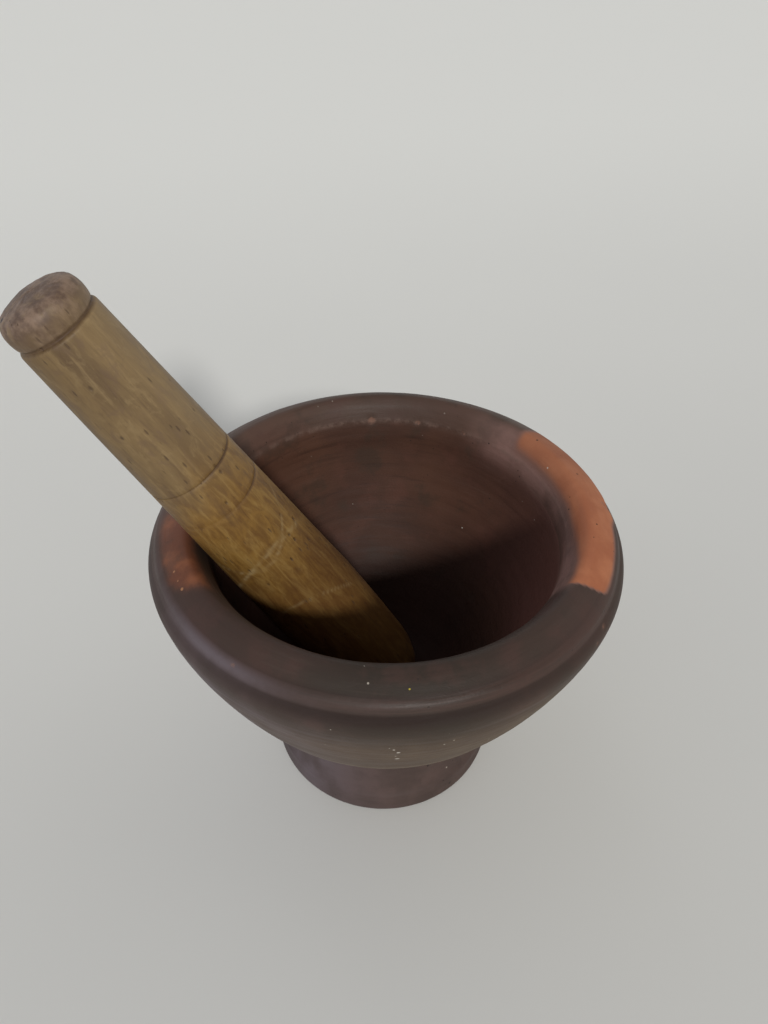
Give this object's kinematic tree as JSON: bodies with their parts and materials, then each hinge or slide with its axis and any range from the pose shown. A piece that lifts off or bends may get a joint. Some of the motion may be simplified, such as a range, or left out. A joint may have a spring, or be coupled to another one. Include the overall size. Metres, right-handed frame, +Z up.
{
  "type": "mortar and pestle",
  "caption": "Fired-clay mortar with a thick rolled lip and a pedestal foot, and a turned wooden pestle that leans in the bowl and lifts out.",
  "frame": {"origin": "centre of the mortar's foot, on the surface that it stands on", "axes": "+Z up along the mortar's axis; the pestle leans toward -X with its axis in the XZ plane; +Y completes the right-handed frame"},
  "size_m": [0.2454, 0.22, 0.2861],
  "materials": {
    "fired_clay": "satin dark slip, worn to bare orange-brown clay in places",
    "turned_wood": "worn satin, oiled by use"
  },
  "bodies": {
    "mortar_body": {"mortar": "fired_clay"},
    "pestle_body": {"pestle": "turned_wood"}
  },
  "joints": [
    {"name": "pestle_lift", "type": "slide", "parent": "mortar_body", "child": "pestle_body", "axis": [-0.4226, 0, 0.9063], "range_m": [0, 0.25]}
  ]
}
